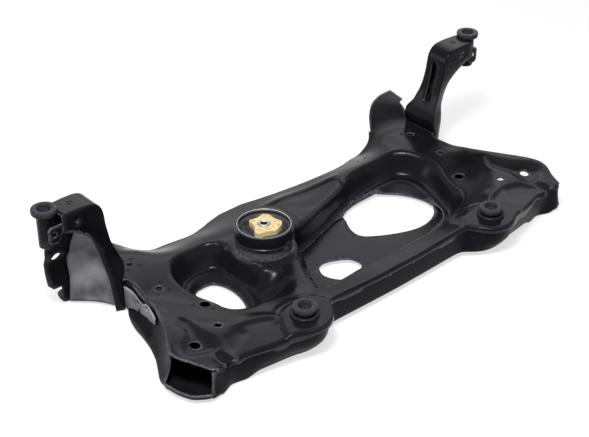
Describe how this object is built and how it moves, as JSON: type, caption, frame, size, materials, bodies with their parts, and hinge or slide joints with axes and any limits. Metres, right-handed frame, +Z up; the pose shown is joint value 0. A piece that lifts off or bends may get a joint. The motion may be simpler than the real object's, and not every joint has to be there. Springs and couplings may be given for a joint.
{
  "type": "front subframe",
  "caption": "Pressed and welded steel front subframe with two upright towers, a round engine-mount bush, drawn wells and bolting sleeves.",
  "frame": {"origin": "centre of the outline, at the height of the lowest point", "axes": "+X along the length towards the right tower, +Y to the vehicle's front, +Z up"},
  "size_m": [0.866, 0.4144, 0.1996],
  "materials": {
    "black_coat": "semi-gloss black e-coat with slight orange peel",
    "mount_rubber": "matte moulded rubber",
    "cast_core": "pale raw casting",
    "plated_steel": "plated"
  },
  "bodies": {
    "root": {"upper_shell": "black_coat", "lower_shell": "black_coat", "left_tower_shell": "black_coat", "right_tower_shell": "black_coat", "left_tower_closing_plate": "black_coat", "right_tower_closing_plate": "black_coat", "left_tower_sleeve": "black_coat", "right_tower_sleeve": "black_coat", "left_rear_sleeve": "black_coat", "right_rear_sleeve": "black_coat", "left_side_gusset": "black_coat", "right_side_gusset": "black_coat", "left_clip_tab": "black_coat", "right_clip_tab": "black_coat", "bush_collar": "black_coat", "bush_outer_ring": "black_coat", "bush_rubber": "mount_rubber", "bush_core": "cast_core", "bush_insert": "plated_steel", "left_front_weld_nut": "plated_steel", "left_middle_weld_nut": "plated_steel", "right_front_weld_nut": "plated_steel", "right_middle_weld_nut": "plated_steel"}
  },
  "joints": []
}
